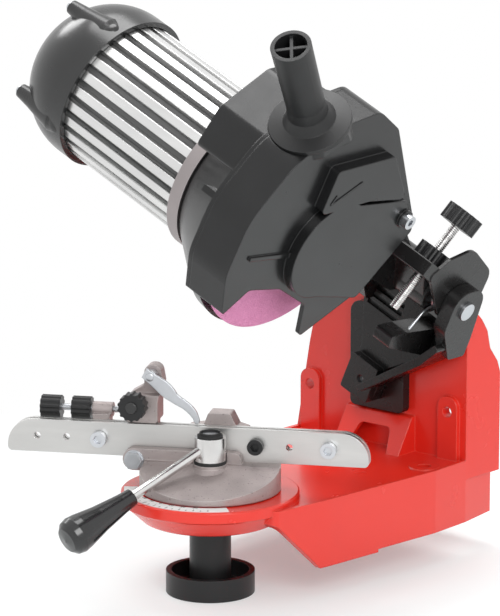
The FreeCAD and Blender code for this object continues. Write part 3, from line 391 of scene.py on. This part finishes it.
class Grower:  # one Geometry Nodes tree with named inputs
    def __init__(self, name, sizes):
        self.tree = bpy.data.node_groups.new(name, "GeometryNodeTree")
        self.sockets = {}
        for label, value in sizes.items():
            kind = "NodeSocketMaterial" if label == "finish" else "NodeSocketFloat"
            kind = "NodeSocketInt" if isinstance(value, int) else kind
            socket = self.tree.interface.new_socket(label, in_out="INPUT", socket_type=kind)
            self.sockets[label] = socket.identifier
        self.tree.interface.new_socket("mesh", in_out="OUTPUT", socket_type="NodeSocketGeometry")
        self.start = self.tree.nodes.new("NodeGroupInput")
        self.sizes = sizes

    def size(self, label):
        return self.start.outputs[label]

    def add(self, kind, inputs=None, **settings):
        node = self.tree.nodes.new(kind)
        for key, value in settings.items():
            setattr(node, key, value)
        for key, value in (inputs or {}).items():
            if isinstance(value, bpy.types.NodeSocket):
                self.tree.links.new(value, node.inputs[key])
            else:
                node.inputs[key].default_value = value
        return node.outputs[0]

    def close(self, shape):
        whole = self.add("GeometryNodeRealizeInstances", {0: shape})
        worn = self.add("GeometryNodeSetMaterial", {"Geometry": whole, "Material": self.size("finish")})
        end = self.tree.nodes.new("NodeGroupOutput")
        self.tree.links.new(worn, end.inputs[0])

    def grow(self, name, place, body, slot, **changes):
        holder = bpy.data.objects.new(name + "Seed", bpy.data.meshes.new(name + "Seed"))
        step = holder.modifiers.new("grow", "NODES")
        step.node_group = self.tree
        for label, value in {**self.sizes, **changes}.items():
            step[self.sockets[label]] = value
        mesh = plainMesh(holder)
        mesh.transform(place)
        return keep(name, mesh, body)


def along(point, way, reach=0.0):  # frame whose Z runs along an axis
    way = Vector(way).normalized()
    turn = way.to_track_quat("Z", "Y").to_matrix().to_4x4()
    return Matrix.Translation(Vector(point) + way * reach) @ turn


def threadTree():  # a ridge wound round a plain screw
    g = Grower("screwThread", dict(radius=0.003, ridge=0.0003, turns=20.0, length=0.02,
                                   finish=looks["chromeSteel"]))
    way = g.add("GeometryNodeCurveSpiral",
                {"Resolution": 28, "Rotations": g.size("turns"), "Start Radius": g.size("radius"),
                 "End Radius": g.size("radius"), "Height": g.size("length")})
    ridge = g.add("GeometryNodeCurvePrimitiveCircle", {"Resolution": 4, "Radius": g.size("ridge")})
    g.close(g.add("GeometryNodeCurveToMesh", {"Curve": way, "Profile Curve": ridge, "Fill Caps": True}))
    return g


thread = threadTree()
depthThread = dict(radius=0.0030, pitch=0.00125, ridge=0.0004, runs=((0.0006, 0.0250), (0.0460, 0.0634)),
                   finish="chromeSteel")
stopThread = dict(radius=0.0020, pitch=0.0008, ridge=0.00022, runs=((-0.0196, -0.0134), (0.0134, 0.0206)),
                  finish="zincSteel")


def cutThread(name, screw, hinge, sizes):
    for i, (low, high) in enumerate(sizes["runs"]):
        thread.grow("%s%d" % (name, i), along(hinge["pos_m"], hinge["axis"], low), screw, screw,
                    radius=sizes["radius"], ridge=sizes["ridge"], length=high - low,
                    turns=(high - low) / sizes["pitch"], finish=looks[sizes["finish"]])


cutThread("depthThread", "depth_screw", joints["depth_turn"], depthThread)
cutThread("stopThread", "stop_screw", joints["stop_screw_turn"], stopThread)

scaleSet = dict(zero=-90.0, reach=40.0, longEvery=10.0, longMark=0.0030, shortEvery=5.0, shortMark=0.0018,
                outer=0.0530, ink=0.0001, letter=0.0034, letterIn=0.0062, numbers=range(-30, 31, 10),
                weld=1e-6)
swivelAt = joints["vise_swivel"]["pos_m"]
scaleAt = Vector((swivelAt[0], swivelAt[1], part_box("swivel_scale")[1].z + scaleSet["ink"] / 2))


def tickTree():  # marks set out round an arc, each pointing at its centre
    g = Grower("scaleTicks", dict(radius=0.05, first=0.0, sweep=1.0, count=10, wide=0.0004, long=0.003,
                                  thick=scaleSet["ink"], finish=looks["scaleInk"]))
    arc = g.add("GeometryNodeCurveArc",
                {"Resolution": g.size("count"), "Radius": g.size("radius"), "Start Angle": g.size("first"),
                 "Sweep Angle": g.size("sweep")})
    spots = g.add("GeometryNodeCurveToPoints", {"Curve": arc}, mode="EVALUATED")
    outward = g.add("GeometryNodeInputPosition")
    aim = g.add("FunctionNodeAlignRotationToVector", {"Vector": outward}, axis="X")
    box = g.add("ShaderNodeCombineXYZ", {0: g.size("long"), 1: g.size("wide"), 2: g.size("thick")})
    mark = g.add("GeometryNodeMeshCube", {"Size": box})
    g.close(g.add("GeometryNodeInstanceOnPoints", {"Points": spots, "Instance": mark, "Rotation": aim}))
    return g


ticks = tickTree()


def scaleMarks(name, every, long):
    count = int(2 * scaleSet["reach"] / every) + 1
    first = math.radians(scaleSet["zero"] - scaleSet["reach"])
    ticks.grow(name, Matrix.Translation(scaleAt), "base", "swivel_scale", long=long, count=count,
               first=first, radius=scaleSet["outer"] - long / 2, sweep=math.radians(2 * scaleSet["reach"]))


def scaleNumbers():
    whole = bmesh.new()
    for degrees in scaleSet["numbers"]:
        words = bpy.data.curves.new("number", "FONT")
        words.body = str(abs(degrees))
        words.size = scaleSet["letter"]
        words.align_x = "CENTER"
        words.extrude = scaleSet["ink"] / 2
        number = plainMesh(bpy.data.objects.new("number", words))
        angle = math.radians(scaleSet["zero"] + degrees)
        out = Vector((math.cos(angle), math.sin(angle), 0.0)) * (scaleSet["outer"] - scaleSet["letterIn"])
        upright = Matrix.Rotation(angle + math.radians(90), 4, "Z")
        number.transform(Matrix.Translation(scaleAt + out) @ upright)
        whole.from_mesh(number)
        bpy.data.meshes.remove(number)
    bmesh.ops.remove_doubles(whole, verts=whole.verts, dist=scaleSet["weld"])
    keepBuilt("scaleNumbers", whole, Matrix(), "scaleInk", "base")


scaleMarks("scaleLongTicks", scaleSet["longEvery"], scaleSet["longMark"])
scaleMarks("scaleShortTicks", scaleSet["shortEvery"], scaleSet["shortMark"])
scaleNumbers()

arrowSet = dict(face=0.0310, proud=0.0005, sunk=0.0003, tail=(-0.1228, 0.2806), tip=(-0.1470, 0.2686),
                barb=(-0.1433, 0.2748), thin=0.0004, wide=0.0009, lean=24.0, leanAt=Vector((0, 0, 0.0895)))


def stroke(bm, ends, widths):  # raised bar on the guard's panel, wider at one end
    start, stop = (Vector((0.0, *e)) for e in ends)
    side = (stop - start).cross(Vector((1, 0, 0))).normalized()
    near, far = side * widths[0], side * widths[1]
    ring = [start + near, stop + far, stop - far, start - near]
    low = [bm.verts.new(p + Vector((arrowSet["face"] - arrowSet["sunk"], 0, 0))) for p in ring]
    top = [bm.verts.new(p + Vector((arrowSet["face"] + arrowSet["proud"], 0, 0))) for p in ring]
    bm.faces.new(top)
    bm.faces.new(low[::-1])
    for k in range(4):
        bm.faces.new((low[k], low[(k + 1) % 4], top[(k + 1) % 4], top[k]))


def turnArrow():
    a = arrowSet
    bm = bmesh.new()
    stroke(bm, (a["tail"], a["tip"]), (a["wide"], a["thin"]))
    stroke(bm, (a["tip"], a["barb"]), (a["thin"], a["wide"]))
    bmesh.ops.recalc_face_normals(bm, faces=bm.faces)
    lean = Matrix.Rotation(math.radians(a["lean"]), 4, "Y")
    place = Matrix.Translation(a["leanAt"]) @ lean @ Matrix.Translation(-a["leanAt"])
    keepBuilt("turnArrow", bm, place, "guardBlack", "head")


turnArrow()

motorBack = min((v.co - axleAt).dot(axleWay) for v in nodes["motor_body"].data.vertices)
acrossWay = Vector((0, 1, 0))
capFrame = Matrix((acrossWay, axleWay.cross(acrossWay), axleWay)).transposed().to_4x4()
capFrame = Matrix.Translation(axleAt + axleWay * motorBack) @ capFrame  # Z along the axle
domeSet = dict(rim=0.0516, reach=0.0470, shoulder=-0.0080, lip=0.0039, end=-0.0529, skin=0.0012, steps=18,
               around=120, sharp=40.0)


def capDome():  # smooth moulded skin over the stepped cap
    d = domeSet
    last = math.asin((d["shoulder"] - d["end"]) / d["reach"])
    turns = [last * k / d["steps"] for k in range(d["steps"] + 1)]
    profile = []
    for depth in (0.0, d["skin"]):
        wide, deep = d["rim"] - depth, d["reach"] - depth
        run = [(wide, d["lip"])] + [(wide * math.cos(a), d["shoulder"] - deep * math.sin(a)) for a in turns]
        profile += run if depth == 0.0 else run[::-1]
    bm = bmesh.new()
    rings = []
    for k in range(d["around"]):
        turn = 2 * math.pi * k / d["around"]
        rings.append([bm.verts.new((r * math.cos(turn), r * math.sin(turn), z)) for r, z in profile])
    for k, ring in enumerate(rings):
        after = rings[(k + 1) % len(rings)]
        for i in range(len(profile)):
            j = (i + 1) % len(profile)
            bm.faces.new((ring[i], after[i], after[j], ring[j]))
    bmesh.ops.recalc_face_normals(bm, faces=bm.faces)
    keepBuilt("capDome", bm, capFrame, "capBlack", "head", d["sharp"])


capDome()


def fairingTree():  # cones that carry each screw tower's root into the rim
    g = Grower("towerFairings", dict(ring=0.0435, count=4, wide=0.0101, narrow=0.0079, long=0.0100,
                                     finish=looks["capBlack"]))
    spots = g.add("GeometryNodeCurvePrimitiveCircle",
                  {"Resolution": g.size("count"), "Radius": g.size("ring")})
    root = g.add("GeometryNodeMeshCone", {"Vertices": 40, "Radius Bottom": g.size("wide"),
                                          "Radius Top": g.size("narrow"), "Depth": g.size("long")})
    smooth = g.add("GeometryNodeSetShadeSmooth", {"Geometry": root, "Selection": root.node.outputs["Side"]})
    points = g.add("GeometryNodeCurveToPoints", {"Curve": spots}, mode="EVALUATED")
    g.close(g.add("GeometryNodeInstanceOnPoints", {"Points": points, "Instance": smooth}))
    return g


towerSet = dict(first=114.0, root=-0.0082)
towerTurn = Matrix.Rotation(math.radians(towerSet["first"]), 4, "Z")
towerFrame = capFrame @ Matrix.Translation((0, 0, towerSet["root"])) @ towerTurn
fairingTree().grow("towerFairings", towerFrame, "head", "motor_cap")


def turned(profile, around, weld=1e-6):  # closed body turned about Z, from the axis out and back
    bm = bmesh.new()
    line = [bm.verts.new((r, 0.0, z)) for r, z in profile]
    edges = [bm.edges.new(pair) for pair in zip(line, line[1:])]
    bmesh.ops.spin(bm, geom=line + edges, axis=(0, 0, 1), cent=(0, 0, 0), steps=around, angle=2 * math.pi)
    bmesh.ops.remove_doubles(bm, verts=bm.verts, dist=weld)
    bmesh.ops.recalc_face_normals(bm, faces=bm.faces)
    return bm


def reachOf(node, point, way):  # how far a node goes from a point, back and forth
    spots = [(v.co - Vector(point)).dot(way) for v in nodes[node].data.vertices]
    return min(spots), max(spots)


pawlAt = joints["pawl_lift"]["pos_m"]
railWay, hingeWay = (Vector(joints[name]["axis"]) for name in ("stop_slide", "pawl_lift"))
pawlFrame = Matrix((railWay, Vector((0, 0, 1)), -hingeWay)).transposed().to_4x4()
pawlFrame = Matrix.Translation(pawlAt) @ pawlFrame  # X along the rails, Y up, Z to the front
pawlSet = dict(thick=0.0022, round=0.0005, collar=0.0040, collarIn=0.6, around=48, weld=1e-6, sharp=35.0,
               head=((0.0003, -0.0046), (-0.0047, -0.0002), (-0.0019, 0.0048)),
               over=((0.0040, 0.0010), (0.0106, -0.0030), (0.0149, -0.0073), (0.0173, -0.0108),
                     (0.0230, -0.0148), (0.0280, -0.0194), (0.0304, -0.0242)),
               tip=((0.0308, -0.0278), (0.0294, -0.0282)),
               under=((0.0274, -0.0248), (0.0220, -0.0196), (0.0155, -0.0160), (0.0085, -0.0118)))
rivetSet = dict(shank=0.0025, head=0.0027, dome=0.0007, bends=(0.0, 0.4, 0.8, 1.2), around=48, sharp=35.0)


def bentPawl():  # flat steel finger, narrow and hooked towards its tip, on a collar
    p = pawlSet
    line = bpy.data.curves.new("pawlOutline", "CURVE")
    line.dimensions = "2D"
    line.fill_mode = "BOTH"
    line.extrude = p["thick"] / 2 - p["round"]
    line.bevel_depth = p["round"]
    line.bevel_resolution = 3
    spline = line.splines.new("BEZIER")
    outline = [spot for part in ("head", "over", "tip", "under") for spot in p[part]]
    spline.bezier_points.add(len(outline) - 1)
    spline.use_cyclic_u = True
    for point, spot in zip(spline.bezier_points, outline):
        point.co = (*spot, 0.0)
        kind = "VECTOR" if spot in p["head"] else "AUTO"  # the head is cut square
        point.handle_left_type = point.handle_right_type = kind
    plate = plainMesh(bpy.data.objects.new("pawlOutline", line))
    front, back = reachOf("stop_pawl", pawlAt, hingeWay)
    plate.transform(Matrix.Translation((0, 0, -front - p["thick"] / 2)))
    wide, inner = p["collar"], -front - p["thick"] * p["collarIn"]
    whole = turned([(0.0, -back), (wide, -back), (wide, inner), (0.0, inner)], p["around"])
    whole.from_mesh(plate)
    bmesh.ops.remove_doubles(whole, verts=whole.verts, dist=p["weld"])
    bpy.data.meshes.remove(plate)
    piece = keepBuilt("bentPawl", whole, pawlFrame, "zincSteel", "pawl", p["sharp"])
    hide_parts("stop_pawl")


def pawlRivet():
    r = rivetSet
    face = -reachOf("stop_pawl", pawlAt, hingeWay)[0]
    end = -reachOf("pawl_pin", pawlAt, hingeWay)[1]
    dome = [(r["head"] * math.cos(a), face + r["dome"] * math.sin(a)) for a in r["bends"]]
    profile = [(0.0, end), (r["shank"], end), (r["shank"], face), *dome, (0.0, face + r["dome"])]
    piece = keepBuilt("pawlRivet", turned(profile, r["around"]), pawlFrame, "zincSteel", "stop_carrier",
                      r["sharp"])
    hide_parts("pawl_pin")


bentPawl()
pawlRivet()

buttonSet = dict(wide=0.0038, proud=0.0012, round=0.0005, sunk=0.0004, around=40, sharp=35.0)


def clampButton():  # raised centre of the clamp knob
    b = buttonSet
    hinge = joints["stop_clamp_turn"]
    way = Vector(hinge["axis"])
    way = -way if way.y > 0 else way
    face = reachOf("stop_clamp_knob", hinge["pos_m"], way)[1]
    profile = [(0.0, -b["sunk"]), (b["wide"], -b["sunk"]), (b["wide"], b["proud"] - b["round"]),
               (b["wide"] - b["round"], b["proud"]), (0.0, b["proud"])]
    keepBuilt("clampButton", turned(profile, b["around"]), along(hinge["pos_m"], way, face), "capBlack",
              "stop_clamp", b["sharp"])


clampButton()

stageSet = dict(floorAt=-0.0196, reach=9.0, pale=rgb(0.88, 0.95, 0.95), cool=rgb(0.86, 0.93, 0.93),
                mottle=0.4, gloss=0.85, nearGlow=0.32, nearAt=0.10, farAt=0.42)


def paleFloor():  # seen by the camera it is near white with the shadow kept
    s = Shade("paleFloor")
    s.put(Base_Color=s.blend(s.noise(stageSet["mottle"]), stageSet["cool"], stageSet["pale"]))
    s.put(Roughness=stageSet["gloss"])
    near = stageSet["nearGlow"]
    share = s.span(s.vector("LENGTH", s.place()), stageSet["nearAt"], stageSet["farAt"], near, 1.0)
    glow = s.add("ShaderNodeEmission", {"Color": rgb(1, 1, 1), "Strength": 1.0})
    both = s.add("ShaderNodeMixShader", {0: share * s.seen(), 1: s.bsdf.outputs[0], 2: glow})
    s.feed(s.tree.nodes["Material Output"].inputs["Surface"], both)
    return s.material


def layFloor():
    r, z = stageSet["reach"], stageSet["floorAt"]
    mesh = bpy.data.meshes.new("floor")
    mesh.from_pydata([(-r, -r, z), (r, -r, z), (r, r, z), (-r, r, z)], [], [(0, 1, 2, 3)])
    mesh.materials.append(paleFloor())
    floor = bpy.data.objects.new("floor", mesh)
    bpy.context.scene.collection.objects.link(floor)


skySet = dict(low=0.35, high=0.85, lowAt=-0.1, highAt=0.9)


def studioSky():  # white where the camera sees it, a soft gradient as a light
    s = Shade("studio", bpy.data.worlds.new("studio"))
    parts = s.add("ShaderNodeSeparateXYZ", {0: s.add("ShaderNodeTexCoord", output="Generated")}, "Z")
    up = s.span(parts, skySet["lowAt"], skySet["highAt"], skySet["low"], skySet["high"])
    seen = s.seen()
    back = s.tree.nodes["Background"]
    s.feed(back.inputs["Color"], rgb(1, 1, 1))
    s.feed(back.inputs["Strength"], up * (1 - seen) + seen)
    bpy.context.scene.world = s.material


lampSet = dict(keyLamp=dict(spot=(1.8, -1.3, 1.3), aim=(0, -0.1, 0.15), size=1.3, power=28),
               topLamp=dict(spot=(-0.3, 0.3, 2.2), aim=(0, -0.1, 0.15), size=1.6, power=30),
               sideLamp=dict(spot=(-1.9, 0.3, 1.7), aim=(0, -0.1, 0.2), size=0.9, power=14))


def softLamp(name, spot, aim, size, power):
    lamp = bpy.data.lights.new(name, "AREA")
    lamp.shape = "DISK"
    lamp.size = size
    lamp.energy = power
    holder = bpy.data.objects.new(name, lamp)
    holder.location = spot
    holder.rotation_euler = (Vector(aim) - Vector(spot)).to_track_quat("-Z", "Y").to_euler()
    bpy.context.scene.collection.objects.link(holder)


cameraSet = dict(spot=(1.5916, -1.9342, 0.7153), right=(0.75471, 0.65606, 0.0),
                 up=(-0.14758, 0.16977, 0.97438), back=(0.63925, -0.73537, 0.22495), sensor=36.0,
                 focalPixels=4000.0, frameHeight=616.0)


def photoCamera():
    c = cameraSet
    lens = bpy.data.cameras.new("photoCamera")
    lens.sensor_fit = "VERTICAL"
    lens.sensor_height = c["sensor"]
    lens.lens = c["focalPixels"] * c["sensor"] / c["frameHeight"]
    camera = bpy.data.objects.new("photoCamera", lens)
    turn = Matrix((c["right"], c["up"], c["back"])).transposed().to_4x4()
    camera.matrix_world = Matrix.Translation(c["spot"]) @ turn
    bpy.context.scene.collection.objects.link(camera)
    bpy.context.scene.camera = camera


layFloor()
studioSky()
for lampName, settings in lampSet.items():
    softLamp(lampName, **settings)
photoCamera()
bpy.context.scene.view_settings.view_transform = "Standard"
print("stage, lamps and camera set")
